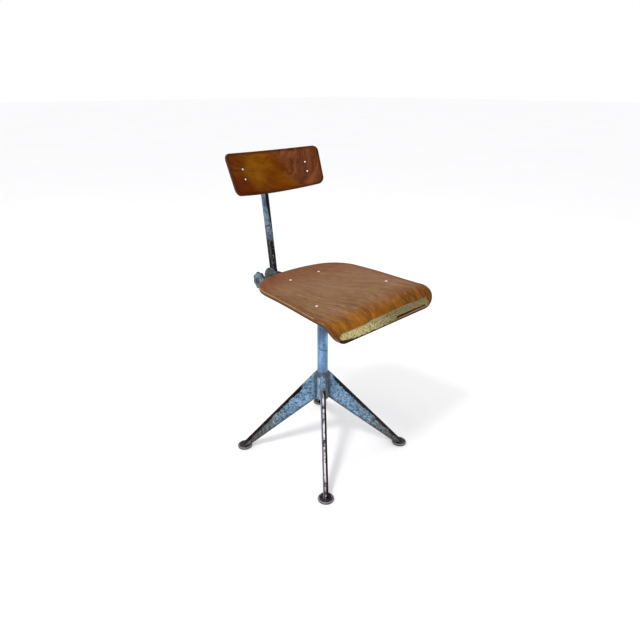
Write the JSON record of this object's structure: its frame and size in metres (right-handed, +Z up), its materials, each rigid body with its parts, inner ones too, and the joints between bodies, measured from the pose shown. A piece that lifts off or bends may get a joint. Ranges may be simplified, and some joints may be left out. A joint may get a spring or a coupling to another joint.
{
  "type": "drafting chair",
  "caption": "Swivel work chair with a curved plywood seat, a tilting plywood backrest on a clamped post and folded sheet-steel legs on round feet.",
  "frame": {"origin": "centre of the footprint box at floor level", "axes": "+Z up, seat facing -Y, +X to the sitter's left"},
  "size_m": [0.399, 0.489, 0.8538],
  "materials": {
    "plywood": "worn satin varnish on moulded veneer",
    "rivet_metal": "bright, worn",
    "bronze": "oiled",
    "blue_paint_column": "light blue enamel, scratched",
    "blue_paint": "blue-grey enamel, chipped and speckled with rust",
    "post_paint": "blue-grey enamel, worn to bare steel where it slides",
    "knob_paint": "grimy blue-grey enamel",
    "bare_steel": "oiled, dull",
    "dark_steel": "dark, worn at the rims"
  },
  "bodies": {
    "base": {"leg_front_left": "blue_paint", "leg_rear_left": "blue_paint", "leg_rear_right": "blue_paint", "leg_front_right": "blue_paint", "foot_disc_front_left": "dark_steel", "foot_disc_rear_left": "dark_steel", "foot_disc_rear_right": "dark_steel", "foot_disc_front_right": "dark_steel", "hub_socket": "blue_paint", "hub_weld_bead": "blue_paint", "column_tube": "blue_paint_column", "column_bush": "bronze", "thrust_washer": "bronze"},
    "height_clamp": {"height_collar": "bare_steel", "collar_screw": "bare_steel"},
    "seat": {"seat_shell": "plywood", "seat_rivets": "rivet_metal", "crossbar_front": "knob_paint", "crossbar_rear": "knob_paint", "seat_spine": "knob_paint", "hub_plate": "knob_paint", "hub_tube": "knob_paint", "spindle": "bare_steel", "spindle_stop_ring": "bare_steel", "pivot_bolt": "bare_steel", "clamp_disc": "knob_paint", "bolt_spacer": "bare_steel"},
    "knob_washer": {"knob_washer": "bare_steel"},
    "tilt_knob": {"tilt_knob": "knob_paint"},
    "back_clamp": {"clamp_block": "dark_steel"},
    "post": {"back_post": "post_paint"},
    "backrest": {"backrest_shell": "plywood", "backrest_strap": "knob_paint", "backrest_rivets": "rivet_metal", "backrest_clevis": "knob_paint", "backrest_pin": "bare_steel"}
  },
  "joints": [
    {"name": "swivel", "type": "hinge", "parent": "base", "child": "height_clamp", "pos_m": [0, -0.01246, 0.413], "axis": [0, 0, 1], "continuous": true},
    {"name": "seat_height", "type": "slide", "parent": "height_clamp", "child": "seat", "axis": [0, 0, 1], "range_m": [-0.025, 0.09]},
    {"name": "knob_travel", "type": "slide", "parent": "seat", "child": "knob_washer", "axis": [-1, 0, 0], "range_m": [0, 0.00125]},
    {"name": "knob_turn", "type": "hinge", "parent": "knob_washer", "child": "tilt_knob", "pos_m": [-0.049, 0.19454, 0.492], "axis": [-1, 0, 0], "range_deg": [0, 360]},
    {"name": "back_tilt", "type": "hinge", "parent": "seat", "child": "back_clamp", "pos_m": [0, 0.19454, 0.492], "axis": [-1, 0, 0], "range_deg": [-12, 15]},
    {"name": "post_slide", "type": "slide", "parent": "back_clamp", "child": "post", "axis": [0, 0.1288, 0.9917], "range_m": [-0.085, 0.01]},
    {"name": "backrest_tilt", "type": "hinge", "parent": "post", "child": "backrest", "pos_m": [0, 0.2339, 0.795], "axis": [-1, 0, 0], "range_deg": [-15, 15]}
  ],
  "couplings": [
    {"joint": "knob_travel", "follows": "knob_turn", "m_per_rad": 0.00019894}
  ]
}
